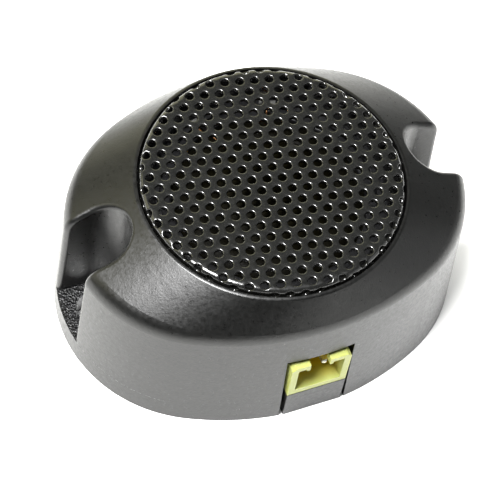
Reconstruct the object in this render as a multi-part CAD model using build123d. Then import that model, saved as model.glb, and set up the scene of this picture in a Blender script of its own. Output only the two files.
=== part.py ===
from build123d import *
import os
from math import atan2, ceil, cos, hypot, pi, radians, sin, sqrt, tan

# Car tweeter: an oval two-part body that screws down through two end notches.
# Millimetres. Origin at the middle of the underside, X along the oval, +Z out through
# the grille, and the connector in the middle of the -Y wall.

# ---- Oval body ------------------------------------------------------------------------
HALF_LENGTH = 25.5
HALF_WIDTH = 19.7
END_RADIUS = 18.0
WALL_DRAFT = 3.65
SHOULDER_HEIGHT = 17.7
SHOULDER_ROUND = 2.6
RIM_HEIGHT = 21.9
RIM_RADIUS = 16.12
RIM_ROUND = 0.45
WALL = 1.6

# Two end arcs of END_RADIUS run tangent into two flatter side arcs
END_CENTRE = HALF_LENGTH - END_RADIUS
SIDE_RADIUS = (END_CENTRE**2 + HALF_WIDTH**2 - END_RADIUS**2) / (2 * (HALF_WIDTH - END_RADIUS))
SIDE_CENTRE = SIDE_RADIUS - HALF_WIDTH
BLEND_ANGLE = atan2(SIDE_CENTRE, END_CENTRE)
DRAFT_RATE = tan(radians(WALL_DRAFT))

# How close counts as the same place when edges are picked
NEAR = 0.01

# How far a cutting shape runs past the faces it goes through, and a joining one into them
CUT_MARGIN = 1.0
LAP = 0.1

# ---- Grille opening and the ledge inside it ---------------------------------------------
OPENING_RADIUS = 15.8
LEDGE_TOP = 19.9
LEDGE_BOTTOM = 18.5
LEDGE_INNER_RADIUS = 14.0
GASKET_INNER_RADIUS = 14.1
CAVITY_SHOULDER_HEIGHT = 16.0
CAVITY_TOP_RADIUS = 15.5

# ---- Screw notches in the two ends ------------------------------------------------------
NOTCH_HALF_WIDTH = 3.4
NOTCH_CENTRE = 20.8
NOTCH_WALL = 1.4
NOTCH_FLOOR = 3.1
NOTCH_EDGE_ROUND = 0.6
MOUNT_HOLE_SPACING = 43.2
MOUNT_HOLE_RADIUS = 1.9

# ---- Base plate -------------------------------------------------------------------------
PLATE_THICKNESS = 1.2
PLATE_GAP = 0.1
TONGUE_HALF_WIDTH = 3.75
TONGUE_FRONT = -19.5
TONGUE_DEPTH = 2.9
TONGUE_LAP = 1.0
SUPPORT_RING_INNER = 5.4
SUPPORT_RING_OUTER = 7.0
SUPPORT_RING_TOP = 7.5

# ---- Base screws and their bosses -------------------------------------------------------
BOSS_CIRCLE = 17.6
BOSS_ANGLE = 40.0
BOSS_RADIUS = 2.0
BOSS_BOTTOM = 3.0
CUP_RADIUS = 3.0
CUP_BORE = 2.1
CUP_DEPTH = 1.6
SCREW_RADIUS = 0.98
SCREW_HEAD_RADIUS = 1.85
SCREW_HEAD_HEIGHT = 1.2
SCREW_LENGTH = 7.0
SCREW_HOLE_GAP = 0.02
SCREW_PASS_RADIUS = 1.2

# ---- Pan-head screws, as shares of their own sizes --------------------------------------
HEAD_ROUND = 0.45
RECESS_RADIUS = 0.62
RECESS_DEPTH = 0.55
RECESS_ARM = 0.36
TIP_CHAMFER = 0.5

# ---- Perforated steel grille ------------------------------------------------------------
GRILLE_RADIUS = 15.5
GRILLE_TOP = 22.5
GRILLE_SHEET = 0.5
GRILLE_BEND = 0.65
PERFORATION_PITCH = 1.8
PERFORATION_RADIUS = 0.5
PERFORATION_TURN = -11.1
PERFORATION_SHIFT_X = -0.8
PERFORATION_SHIFT_Y = -0.14
PERFORATION_LIMIT = 15.0
PERFORATION_REACH = 0.8

# ---- Driver: frame, motor, dome and suspension ------------------------------------------
FRAME_RADIUS = 15.3
FRAME_FLANGE_BOTTOM = 15.5
FRAME_TOP = 18.1
FRAME_COLLAR_RADIUS = 11.7
FRAME_COLLAR_BOTTOM = 10.9
FRAME_WINDOW_RADIUS = 11.2
FRAME_RECESS_RADIUS = 12.95
SURROUND_SEAT = 16.9
GLUE_GAP = 0.02

YOKE_RADIUS = 10.5
YOKE_INNER_RADIUS = 8.95
YOKE_BOTTOM = 8.3
YOKE_FLOOR = 1.8
YOKE_CHAMFER = 0.4
MOTOR_TOP = 15.7
MAGNET_RADIUS = 7.0
MAGNET_HEIGHT = 3.5
MAGNET_CHAMFER = 0.25
TOP_PLATE_RADIUS = 7.65
DAMPING_PAD_RADIUS = 5.5
DAMPING_PAD_HEIGHT = 1.0
DAMPING_PAD_ROUND = 0.3

FORMER_INNER_RADIUS = 7.9
FORMER_OUTER_RADIUS = 8.05
FORMER_BOTTOM = 13.4
COIL_OUTER_RADIUS = 8.45
COIL_HEIGHT = 2.3
FILM = 0.15
LIP_TOP = 18.25
LIP_RADIUS = 8.85
DOME_RISE = 2.1
ROLL_OUTER_RADIUS = 11.35
SURROUND_RADIUS = 12.9
CLAMP_INNER_RADIUS = 11.6
CLAMP_HEIGHT = 0.9
CLAMP_ROUND = 0.25

TERMINAL_ANGLES = {"positive": 70.0, "negative": 110.0}
TERMINAL_RADIUS = 13.25
TERMINAL_THICKNESS = 0.5
TERMINAL_WIDTH = 2.0
TERMINAL_BOTTOM = 11.9
TERMINAL_TOP = 18.3
LEAD_SLOT_WIDTH = 0.9
LEAD_RADIUS = 0.125
LEAD_START = 8.15
LEAD_CLEARANCE = 0.01
LEAD_BEND = 0.6
LEAD_LEVEL_RUN = 1.45

# ---- Circuit board, capacitor and connector ---------------------------------------------
BOARD_BOTTOM = 3.4
BOARD_THICKNESS = 1.6
BOARD_HALF_WIDTH = 9.8
BOARD_FRONT = -16.4
BOARD_BACK = -7.2
BOARD_CORNER = 1.2
BOARD_SCREW_X = 8.3
BOARD_SCREW_Y = -9.4
BOARD_SCREW_RADIUS = 0.7
BOARD_SCREW_HEAD = 1.4
BOARD_SCREW_HEAD_HEIGHT = 0.9
BOARD_SCREW_DEPTH = 1.9
BOARD_SCREW_TIP_GAP = 0.2
BOARD_POST_RADIUS = 1.7
BOARD_HOLE_GAP = 0.1
BOARD_TOP = BOARD_BOTTOM + BOARD_THICKNESS

CAPACITOR_X = 6.7
CAPACITOR_Y = -13.5
CAPACITOR_RADIUS = 2.5
CAPACITOR_HEIGHT = 7.0
CAPACITOR_CRIMP_HEIGHT = 1.3
CAPACITOR_CRIMP_DEPTH = 0.25
CAPACITOR_ROUND = 0.4
CAPACITOR_LEAD_SPACING = 2.0
CAPACITOR_LEAD_RADIUS = 0.25
CAPACITOR_LEAD_TAIL = 1.0

SHROUD_HALF_WIDTH = 3.75
SHROUD_FRONT = -19.45
SHROUD_DEPTH = 7.2
SHROUD_HEIGHT = 6.4
SHROUD_SIDE_WALL = 0.85
SHROUD_FLOOR_WALL = 1.0
SHROUD_ROOF_WALL = 0.75
SHROUD_BACK_WALL = 1.2
SHROUD_CORNER_CUT = 0.5
ROOF_GAP_LEFT = -1.45
ROOF_GAP_RIGHT = 1.05
ROOF_GAP_DEPTH = 3.9
ROOF_HOOK = 0.4
ROOF_HOOK_DEPTH = 1.1
PIN_PITCH = 2.5
PIN_SIDE = 0.64
PIN_HEIGHT = 8.2
PIN_TIP = -18.1
PIN_TAIL = -11.9
PIN_TAIL_BOTTOM = 2.5
PIN_POINT = 0.18
PIN_HOLE_RADIUS = 0.52
WINDOW_HALF_WIDTH = 4.25
WINDOW_TOP = 12.2

# ---- Hook-up wires ----------------------------------------------------------------------
WIRE_RADIUS = 0.55
WIRE_CLEARANCE = 0.03
WIRE_BEND = 1.6
WIRE_TOP = 14.7
WIRE_SIDE_X = 8.7
WIRE_SIDE_BACK = 8.6
WIRE_SIDE_FRONT = -1.6
WIRE_RISE_X = 5.3
WIRE_RISE_Y = -5.6
WIRE_END = -9.6
STRAND_RADIUS = 0.25
STRAND_LENGTH = 1.2

NODES = {}


def node(name):
    """Register a function that makes one separate piece under its node name."""

    def keep(make):
        NODES[name] = make
        return make

    return keep


# ---- Shared geometry --------------------------------------------------------------------
def four_arc_wire(end_centre, end_radius, side_centre, side_radius, height):
    """Two end arcs and two side arcs, joined where both have the same tangent."""
    join_x = end_centre + end_radius * cos(BLEND_ANGLE)
    join_y = end_radius * sin(BLEND_ANGLE)
    end_x = end_centre + end_radius
    side_y = side_radius - side_centre
    right_front = (join_x, -join_y, height)
    right_back = (join_x, join_y, height)
    left_back = (-join_x, join_y, height)
    left_front = (-join_x, -join_y, height)
    arcs = [
        ThreePointArc(right_front, (end_x, 0, height), right_back),
        ThreePointArc(right_back, (0, side_y, height), left_back),
        ThreePointArc(left_back, (-end_x, 0, height), left_front),
        ThreePointArc(left_front, (0, -side_y, height), right_front),
    ]
    return Wire(arcs)


def oval_wire(inset, height):
    """The body's outline moved in by inset, at a height."""
    return four_arc_wire(END_CENTRE, END_RADIUS - inset, SIDE_CENTRE, SIDE_RADIUS - inset, height)


def circle_wire(radius, height):
    """A circle cut into the same four arcs as the oval, so that the two loft cleanly."""
    return four_arc_wire(0, radius, 0, radius, height)


def oval_slab(inset, low, high):
    """Straight-sided slab of the oval outline."""
    return extrude(Face(oval_wire(inset, low)), amount=high - low, dir=(0, 0, 1))


def ring(inner, outer, low, high):
    """Plain ring about the Z axis."""
    profile = Circle(outer)
    if inner > 0:
        profile -= Circle(inner)
    return Pos(0, 0, low) * extrude(profile, amount=high - low)


def block(x_range, y_range, z_range):
    """Box from its three ranges."""
    sizes = [high - low for low, high in (x_range, y_range, z_range)]
    middle = [(high + low) / 2 for low, high in (x_range, y_range, z_range)]
    return Pos(*middle) * Box(*sizes)


def post(x, y, radius, low, high):
    """Upright cylinder between two heights."""
    return Pos(x, y, (low + high) / 2) * Cylinder(radius, high - low)


def turned(profile):
    """Solid of revolution from a face drawn with X as radius and Y as height."""
    return revolve(Plane.XZ * profile, Axis.Z, 360)


def on_frame(angle, shape):
    """Turn a shape drawn along +X to its own angle round the driver."""
    return Rot(0, 0, angle) * shape


def boss_places():
    """The four base screw positions, near the diagonals."""
    x_reach = BOSS_CIRCLE * cos(radians(BOSS_ANGLE))
    y_reach = BOSS_CIRCLE * sin(radians(BOSS_ANGLE))
    return [(x, y) for x in (-x_reach, x_reach) for y in (-y_reach, y_reach)]


def notch_prism(half_width, low, high):
    """Upright U-shaped prism in both ends, open outwards, with a round inner end."""
    run_out = block((NOTCH_CENTRE, 2 * HALF_LENGTH), (-half_width, half_width), (low, high))
    right = run_out + post(NOTCH_CENTRE, 0, half_width, low, high)
    return right + mirror(right, Plane.YZ)


def mount_holes():
    """The two screw holes through the notch floors and the plate under them."""
    places = (-MOUNT_HOLE_SPACING / 2, MOUNT_HOLE_SPACING / 2)
    holes = [post(x, 0, MOUNT_HOLE_RADIUS, -CUT_MARGIN, NOTCH_FLOOR + CUT_MARGIN) for x in places]
    return Part() + holes


# ---- Housing ----------------------------------------------------------------------------
def outer_form():
    """Drafted oval wall, rounded shoulder and a sloping top that rolls over at the round rim."""
    shoulder_inset = SHOULDER_HEIGHT * DRAFT_RATE
    sections = [
        Face(oval_wire(0, 0)),
        Face(oval_wire(shoulder_inset, SHOULDER_HEIGHT)),
        Face(circle_wire(RIM_RADIUS, RIM_HEIGHT)),
    ]
    form = loft(sections, ruled=True)
    shoulder = form.edges().filter_by(lambda edge: lies_flat_at(edge, SHOULDER_HEIGHT))
    form = fillet(shoulder, SHOULDER_ROUND)
    rim = form.edges().filter_by(lambda edge: lies_flat_at(edge, RIM_HEIGHT))
    return fillet(rim, RIM_ROUND)


def lies_flat_at(edge, height):
    """True for an edge that lies in the plane at this height."""
    extent = edge.bounding_box()
    return abs(extent.min.Z - height) < NEAR and abs(extent.max.Z - height) < NEAR


def is_notch_top_edge(edge):
    """True for the edges where a notch breaks through the sloping top and the shoulder."""
    extent = edge.bounding_box()
    inside_notch = max(abs(extent.min.Y), abs(extent.max.Y)) < NOTCH_HALF_WIDTH + NEAR
    beyond_rim = abs(edge.center().X) > RIM_RADIUS
    upright = extent.size.Y < NEAR and extent.size.Z > SHOULDER_HEIGHT / 2
    above_floor = edge.center().Z > NOTCH_FLOOR + NEAR
    return inside_notch and beyond_rim and above_floor and not upright


def cavity():
    """Hollow that holds the driver, with its roof sloping up to the ledge."""
    shoulder_inset = WALL + CAVITY_SHOULDER_HEIGHT * DRAFT_RATE
    sections = [
        Face(oval_wire(WALL, 0)),
        Face(oval_wire(shoulder_inset, CAVITY_SHOULDER_HEIGHT)),
        Face(circle_wire(CAVITY_TOP_RADIUS, LEDGE_BOTTOM)),
    ]
    return loft(sections, ruled=True)


@node("housing")
def housing():
    """Moulded shell: outer form, notch pockets, grille seat, bosses and connector window."""
    notches = notch_prism(NOTCH_HALF_WIDTH, NOTCH_FLOOR, RIM_HEIGHT + CUT_MARGIN)
    outside = outer_form() - notches
    outside = fillet(outside.edges().filter_by(is_notch_top_edge), NOTCH_EDGE_ROUND)

    pocket = notch_prism(NOTCH_HALF_WIDTH + NOTCH_WALL, PLATE_THICKNESS, RIM_HEIGHT)
    hollow = cavity() - pocket
    for x, y in boss_places():
        hollow -= post(x, y, BOSS_RADIUS, BOSS_BOTTOM, RIM_HEIGHT)
    shell = outside - hollow

    shell -= ring(0, LEDGE_INNER_RADIUS, LEDGE_BOTTOM - CUT_MARGIN, RIM_HEIGHT)
    shell -= ring(0, OPENING_RADIUS, LEDGE_TOP, RIM_HEIGHT + CUT_MARGIN)
    for x, y in boss_places():
        hole_bottom = BOSS_BOTTOM - CUT_MARGIN
        hole_top = BOSS_BOTTOM + SCREW_LENGTH
        shell -= post(x, y, SCREW_RADIUS + SCREW_HOLE_GAP, hole_bottom, hole_top)
    window = block(
        (-WINDOW_HALF_WIDTH, WINDOW_HALF_WIDTH),
        (-HALF_WIDTH - CUT_MARGIN, -HALF_WIDTH + 2 * WALL),
        (-CUT_MARGIN, WINDOW_TOP),
    )
    return shell - window - mount_holes()


# ---- Base plate and its screws ----------------------------------------------------------
@node("base_plate")
def base_plate():
    """Bottom cover with the tongue under the connector, screw cups and board posts."""
    plate = oval_slab(WALL + PLATE_GAP, 0, PLATE_THICKNESS)
    tongue_back = TONGUE_FRONT + TONGUE_DEPTH
    tongue_width = (-TONGUE_HALF_WIDTH, TONGUE_HALF_WIDTH)
    plate += block(tongue_width, (TONGUE_FRONT, tongue_back), (0, BOARD_TOP))
    plate += block(tongue_width, (tongue_back, BOARD_FRONT + TONGUE_LAP), (0, BOARD_BOTTOM))
    plate += ring(SUPPORT_RING_INNER, SUPPORT_RING_OUTER, 0, SUPPORT_RING_TOP)
    for x in (-BOARD_SCREW_X, BOARD_SCREW_X):
        plate += post(x, BOARD_SCREW_Y, BOARD_POST_RADIUS, 0, BOARD_BOTTOM)
    for x, y in boss_places():
        plate += post(x, y, CUP_RADIUS, 0, BOSS_BOTTOM)

    for x, y in boss_places():
        plate -= post(x, y, CUP_BORE, -CUT_MARGIN, CUP_DEPTH)
        plate -= post(x, y, SCREW_PASS_RADIUS, 0, BOSS_BOTTOM + CUT_MARGIN)
    for x in (-BOARD_SCREW_X, BOARD_SCREW_X):
        hole_bottom = BOARD_BOTTOM - BOARD_SCREW_DEPTH
        plate -= post(x, BOARD_SCREW_Y, BOARD_SCREW_RADIUS + SCREW_HOLE_GAP, hole_bottom, BOARD_TOP)
    return plate - mount_holes()


def cross_recess(radius, depth):
    """Cross-shaped driver recess, as a tool that starts at its own origin and goes up."""
    arm = radius * RECESS_ARM
    bar = Pos(0, 0, depth / 2) * Box(2 * radius, arm, depth)
    return bar + Rot(0, 0, 90) * bar


def pan_screw(head_radius, head_height, shank_radius, length):
    """Pan-head self-tapping screw along +Z, its head's outer face at the origin."""
    head = Pos(0, 0, head_height / 2) * Cylinder(head_radius, head_height)
    head = fillet(head.edges().group_by(Axis.Z)[0], head_height * HEAD_ROUND)
    head -= cross_recess(head_radius * RECESS_RADIUS, head_height * RECESS_DEPTH)
    shank = Pos(0, 0, head_height + length / 2) * Cylinder(shank_radius, length)
    shank = chamfer(shank.edges().group_by(Axis.Z)[-1], shank_radius * TIP_CHAMFER)
    return head + shank


@node("base_screws")
def base_screws():
    """Four screws from below, their heads sunk in the plate's cups."""
    head_bottom = CUP_DEPTH - SCREW_HEAD_HEIGHT
    screw = pan_screw(SCREW_HEAD_RADIUS, SCREW_HEAD_HEIGHT, SCREW_RADIUS, SCREW_LENGTH)
    return Compound(children=[Pos(x, y, head_bottom) * screw for x, y in boss_places()])


# ---- Grille -----------------------------------------------------------------------------
def perforation_centres():
    """Centres of the sixty-degree staggered holes that the grille's face has room for."""
    count = ceil(2 * GRILLE_RADIUS / PERFORATION_PITCH)
    row_step = PERFORATION_PITCH * sin(pi / 3)
    turn = radians(PERFORATION_TURN)
    centres = []
    for row in range(-count, count + 1):
        for column in range(-count, count + 1):
            along = (column + 0.5 * (row % 2)) * PERFORATION_PITCH
            across = row * row_step
            x = along * cos(turn) - across * sin(turn) + PERFORATION_SHIFT_X
            y = along * sin(turn) + across * cos(turn) + PERFORATION_SHIFT_Y
            if hypot(x, y) < PERFORATION_LIMIT:
                centres.append((x, y))
    return centres


@node("grille")
def grille():
    """Perforated steel disc with its rim bent down to stand on the housing's ledge."""
    cup = ring(0, GRILLE_RADIUS, LEDGE_TOP, GRILLE_TOP)
    cup = fillet(cup.edges().group_by(Axis.Z)[-1], GRILLE_BEND)
    bore = ring(0, GRILLE_RADIUS - GRILLE_SHEET, LEDGE_TOP - CUT_MARGIN, GRILLE_TOP - GRILLE_SHEET)
    bore = fillet(bore.edges().group_by(Axis.Z)[-1], GRILLE_BEND - GRILLE_SHEET)
    places = [Pos(x, y, 0) for x, y in perforation_centres()]
    punch = Sketch() + [place * Circle(PERFORATION_RADIUS) for place in places]
    punch_length = PERFORATION_REACH + CUT_MARGIN
    punches = Pos(0, 0, GRILLE_TOP - PERFORATION_REACH) * extrude(punch, amount=punch_length)
    return cup - bore - punches


# ---- Driver -----------------------------------------------------------------------------
@node("driver_gasket")
def driver_gasket():
    """Foam ring squeezed between the driver frame and the ledge."""
    return ring(GASKET_INNER_RADIUS, FRAME_RADIUS, FRAME_TOP, LEDGE_BOTTOM)


@node("driver_frame")
def driver_frame():
    """Moulded ring that holds the motor, the surround and the two terminals."""
    frame = ring(YOKE_RADIUS + GLUE_GAP, FRAME_COLLAR_RADIUS, FRAME_COLLAR_BOTTOM, FRAME_FLANGE_BOTTOM)
    frame += ring(YOKE_RADIUS + GLUE_GAP, FRAME_RADIUS, FRAME_FLANGE_BOTTOM, MOTOR_TOP)
    frame += ring(FRAME_WINDOW_RADIUS, FRAME_RADIUS, MOTOR_TOP, SURROUND_SEAT)
    frame += ring(FRAME_RECESS_RADIUS, FRAME_RADIUS, SURROUND_SEAT, FRAME_TOP)
    for angle in TERMINAL_ANGLES.values():
        frame -= on_frame(angle, terminal_blade())
        frame -= on_frame(angle, lead_slot())
    return frame


def terminal_blade():
    """Flat blade that stands through the frame."""
    return block(
        (TERMINAL_RADIUS, TERMINAL_RADIUS + TERMINAL_THICKNESS),
        (-TERMINAL_WIDTH / 2, TERMINAL_WIDTH / 2),
        (TERMINAL_BOTTOM, TERMINAL_TOP),
    )


def lead_slot():
    """Slot that lets a lead-out wire reach its terminal."""
    return block(
        (CLAMP_INNER_RADIUS - CUT_MARGIN, TERMINAL_RADIUS),
        (-LEAD_SLOT_WIDTH / 2, LEAD_SLOT_WIDTH / 2),
        (SURROUND_SEAT + FILM, FRAME_TOP + CUT_MARGIN),
    )


@node("terminal_positive")
def terminal_positive():
    """Tinned blade of the positive side."""
    return on_frame(TERMINAL_ANGLES["positive"], terminal_blade())


@node("terminal_negative")
def terminal_negative():
    """Tinned blade of the negative side."""
    return on_frame(TERMINAL_ANGLES["negative"], terminal_blade())


@node("yoke_cup")
def yoke_cup():
    """Steel cup that carries the flux round the magnet."""
    cup = ring(0, YOKE_RADIUS, YOKE_BOTTOM, MOTOR_TOP)
    cup = chamfer(cup.edges().group_by(Axis.Z)[0], YOKE_CHAMFER)
    return cup - ring(0, YOKE_INNER_RADIUS, YOKE_BOTTOM + YOKE_FLOOR, MOTOR_TOP + CUT_MARGIN)


@node("magnet")
def magnet():
    """Neodymium disc on the cup's floor."""
    bottom = YOKE_BOTTOM + YOKE_FLOOR
    disc = ring(0, MAGNET_RADIUS, bottom, bottom + MAGNET_HEIGHT)
    return chamfer(disc.edges(), MAGNET_CHAMFER)


@node("top_plate")
def top_plate():
    """Steel pole plate inside the voice coil."""
    return ring(0, TOP_PLATE_RADIUS, YOKE_BOTTOM + YOKE_FLOOR + MAGNET_HEIGHT, MOTOR_TOP)


@node("damping_pad")
def damping_pad():
    """Felt disc that damps the air under the dome."""
    pad = ring(0, DAMPING_PAD_RADIUS, MOTOR_TOP, MOTOR_TOP + DAMPING_PAD_HEIGHT)
    return fillet(pad.edges().group_by(Axis.Z)[-1], DAMPING_PAD_ROUND)


@node("voice_coil_former")
def voice_coil_former():
    """Thin tube that carries the voice coil under the dome."""
    return ring(FORMER_INNER_RADIUS, FORMER_OUTER_RADIUS, FORMER_BOTTOM, LIP_TOP - FILM)


@node("voice_coil")
def voice_coil():
    """Copper winding on the former, in the magnetic gap."""
    return ring(FORMER_OUTER_RADIUS, COIL_OUTER_RADIUS, FORMER_BOTTOM, FORMER_BOTTOM + COIL_HEIGHT)


@node("dome")
def dome():
    """Thin polymer dome with the flat lip that it is glued by."""
    sphere_radius = (FORMER_OUTER_RADIUS**2 + DOME_RISE**2) / (2 * DOME_RISE)
    centre = LIP_TOP + DOME_RISE - sphere_radius
    skin = Sphere(sphere_radius) - Sphere(sphere_radius - FILM)
    cap = Pos(0, 0, centre) * skin & ring(0, FORMER_OUTER_RADIUS, LIP_TOP - FILM, LIP_TOP + DOME_RISE)
    return cap + ring(FORMER_INNER_RADIUS, LIP_RADIUS, LIP_TOP - FILM, LIP_TOP)


def roll_arc():
    """Centre height and radius of the surround's lower arc, level at the dome's lip."""
    span = ROLL_OUTER_RADIUS - LIP_RADIUS
    centre = (LIP_TOP**2 - SURROUND_SEAT**2 - span**2) / (2 * (LIP_TOP - SURROUND_SEAT))
    return centre, LIP_TOP - centre


def point_on_roll(centre, radius, height):
    """Where an arc about the roll's centre comes down to a height."""
    return (LIP_RADIUS + sqrt(radius**2 - (height - centre) ** 2), height)


def middle_of_roll(centre, radius, end):
    """The point halfway along an arc from its crown to an end point."""
    half_angle = atan2(end[0] - LIP_RADIUS, end[1] - centre) / 2
    return (LIP_RADIUS + radius * sin(half_angle), centre + radius * cos(half_angle))


@node("surround")
def surround():
    """Film suspension that rolls from the dome's lip down to the frame's seat."""
    centre, low_radius = roll_arc()
    high_radius = low_radius + FILM
    low_end = point_on_roll(centre, low_radius, SURROUND_SEAT)
    high_end = point_on_roll(centre, high_radius, SURROUND_SEAT + FILM)
    landing = FORMER_OUTER_RADIUS + GLUE_GAP
    outline = [
        Line((landing, LIP_TOP), (LIP_RADIUS, LIP_TOP)),
        ThreePointArc((LIP_RADIUS, LIP_TOP), middle_of_roll(centre, low_radius, low_end), low_end),
        Polyline(
            low_end,
            (SURROUND_RADIUS, SURROUND_SEAT),
            (SURROUND_RADIUS, SURROUND_SEAT + FILM),
            high_end,
        ),
        ThreePointArc(
            high_end,
            middle_of_roll(centre, high_radius, high_end),
            (LIP_RADIUS, LIP_TOP + FILM),
        ),
        Polyline((LIP_RADIUS, LIP_TOP + FILM), (landing, LIP_TOP + FILM), (landing, LIP_TOP)),
    ]
    return turned(make_face(outline))


@node("surround_clamp_ring")
def surround_clamp_ring():
    """Ring that clamps the surround's edge, with gaps for the lead-out wires."""
    bottom = SURROUND_SEAT + FILM
    clamp = ring(CLAMP_INNER_RADIUS, SURROUND_RADIUS, bottom, bottom + CLAMP_HEIGHT)
    clamp = fillet(clamp.edges().group_by(Axis.Z)[-1], CLAMP_ROUND)
    for angle in TERMINAL_ANGLES.values():
        clamp -= on_frame(angle, lead_slot())
    return clamp


@node("lead_out_wires")
def lead_out_wires():
    """Two fine flexible leads from the coil's collar, over the surround, to the terminals."""
    lift = FILM + LEAD_RADIUS + LEAD_CLEARANCE
    high = LIP_TOP + lift
    low = SURROUND_SEAT + lift
    route = FilletPolyline(
        (LEAD_START, 0, high),
        (LIP_RADIUS + LEAD_LEVEL_RUN, 0, high),
        (CLAMP_INNER_RADIUS + LEAD_RADIUS, 0, low),
        (TERMINAL_RADIUS, 0, low),
        radius=LEAD_BEND,
    )
    lead = tube_along(route, LEAD_RADIUS)
    return Compound(children=[on_frame(angle, lead) for angle in TERMINAL_ANGLES.values()])


def tube_along(route, radius):
    """Round wire of this radius along a path."""
    start = Plane(origin=route @ 0, z_dir=route % 0)
    return sweep(start * Circle(radius), path=route)


@node("rear_foam_pad")
def rear_foam_pad():
    """Foam ring that presses the driver up against the ledge."""
    return ring(SUPPORT_RING_INNER, SUPPORT_RING_OUTER, SUPPORT_RING_TOP, YOKE_BOTTOM)


# ---- Circuit board ----------------------------------------------------------------------
@node("circuit_board")
def circuit_board():
    """Small board under the connector, with clipped front corners and drilled holes."""
    width = (-BOARD_HALF_WIDTH, BOARD_HALF_WIDTH)
    board = block(width, (BOARD_FRONT, BOARD_BACK), (BOARD_BOTTOM, BOARD_TOP))
    corners = board.edges().filter_by(Axis.Z)
    board = chamfer(corners, BOARD_CORNER)
    above = BOARD_TOP + CUT_MARGIN
    for x in (-BOARD_SCREW_X, BOARD_SCREW_X):
        board -= post(x, BOARD_SCREW_Y, BOARD_SCREW_RADIUS + BOARD_HOLE_GAP, 0, above)
    for x in (-PIN_PITCH / 2, PIN_PITCH / 2):
        board -= post(x, PIN_TAIL, PIN_HOLE_RADIUS, 0, above)
    for x in capacitor_lead_places():
        board -= post(x, CAPACITOR_Y, CAPACITOR_LEAD_RADIUS + BOARD_HOLE_GAP, 0, above)
    return board


@node("board_screws")
def board_screws():
    """Two short screws that hold the board on its posts."""
    top = BOARD_TOP + BOARD_SCREW_HEAD_HEIGHT
    length = BOARD_THICKNESS + BOARD_SCREW_DEPTH - BOARD_SCREW_TIP_GAP
    screw = pan_screw(BOARD_SCREW_HEAD, BOARD_SCREW_HEAD_HEIGHT, BOARD_SCREW_RADIUS, length)
    places = [Pos(x, BOARD_SCREW_Y, top) for x in (-BOARD_SCREW_X, BOARD_SCREW_X)]
    return Compound(children=[place * Rot(180, 0, 0) * screw for place in places])


def capacitor_lead_places():
    """X of the capacitor's two leads."""
    half = CAPACITOR_LEAD_SPACING / 2
    return (CAPACITOR_X - half, CAPACITOR_X + half)


@node("capacitor")
def capacitor():
    """Upright crossover capacitor: crimped can and two leads through the board."""
    top = BOARD_TOP + CAPACITOR_HEIGHT
    can = post(CAPACITOR_X, CAPACITOR_Y, CAPACITOR_RADIUS, BOARD_TOP, top)
    can = fillet(can.edges().group_by(Axis.Z)[-1], CAPACITOR_ROUND)
    crimp = Pos(CAPACITOR_X, CAPACITOR_Y, BOARD_TOP + CAPACITOR_CRIMP_HEIGHT) * Torus(
        CAPACITOR_RADIUS + CAPACITOR_CRIMP_DEPTH, 2 * CAPACITOR_CRIMP_DEPTH
    )
    can -= crimp
    for x in capacitor_lead_places():
        can += post(x, CAPACITOR_Y, CAPACITOR_LEAD_RADIUS, BOARD_BOTTOM - CAPACITOR_LEAD_TAIL, BOARD_TOP)
    return can


# ---- Connector --------------------------------------------------------------------------
@node("connector_shroud")
def connector_shroud():
    """Side-entry shroud: open front, roof split by a latch gap, two pin holes behind."""
    bottom, top = BOARD_TOP, BOARD_TOP + SHROUD_HEIGHT
    back = SHROUD_FRONT + SHROUD_DEPTH
    width = (-SHROUD_HALF_WIDTH, SHROUD_HALF_WIDTH)
    body = block(width, (SHROUD_FRONT, back), (bottom, top))
    top_corners = body.edges().filter_by(Axis.Y).group_by(Axis.Z)[-1]
    body = chamfer(top_corners, SHROUD_CORNER_CUT)

    inner = SHROUD_HALF_WIDTH - SHROUD_SIDE_WALL
    roof = top - SHROUD_ROOF_WALL
    mouth = (SHROUD_FRONT - CUT_MARGIN, back - SHROUD_BACK_WALL)
    body -= block((-inner, inner), mouth, (bottom + SHROUD_FLOOR_WALL, roof))
    latch_end = SHROUD_FRONT + ROOF_GAP_DEPTH
    latch_depth = (SHROUD_FRONT - CUT_MARGIN, latch_end)
    latch_height = (roof - CUT_MARGIN, top + CUT_MARGIN)
    body -= block((ROOF_GAP_LEFT, ROOF_GAP_RIGHT), latch_depth, latch_height)

    hook_depth = (SHROUD_FRONT, SHROUD_FRONT + ROOF_HOOK_DEPTH)
    hook_height = (roof - ROOF_HOOK, roof + LAP)
    body += block((ROOF_GAP_LEFT - ROOF_HOOK, ROOF_GAP_LEFT), hook_depth, hook_height)
    body += block((ROOF_GAP_RIGHT, ROOF_GAP_RIGHT + ROOF_HOOK), hook_depth, hook_height)
    for x in (-PIN_PITCH / 2, PIN_PITCH / 2):
        body -= connector_pin(x)
    return body


def connector_pin(x):
    """Square pin, bent down behind the shroud and pointed at both ends."""
    half = PIN_SIDE / 2
    side = (x - half, x + half)
    contact = block(side, (PIN_TIP, PIN_TAIL + half), (PIN_HEIGHT - half, PIN_HEIGHT + half))
    contact = chamfer(contact.faces().sort_by(Axis.Y)[0].edges(), PIN_POINT)
    tail = block(side, (PIN_TAIL - half, PIN_TAIL + half), (PIN_TAIL_BOTTOM, PIN_HEIGHT + half))
    tail = chamfer(tail.faces().sort_by(Axis.Z)[0].edges(), PIN_POINT)
    return contact + tail


@node("connector_pin_positive")
def connector_pin_positive():
    """Pin on the right of the front view."""
    return connector_pin(PIN_PITCH / 2)


@node("connector_pin_negative")
def connector_pin_negative():
    """Pin on the left of the front view."""
    return connector_pin(-PIN_PITCH / 2)


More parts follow.
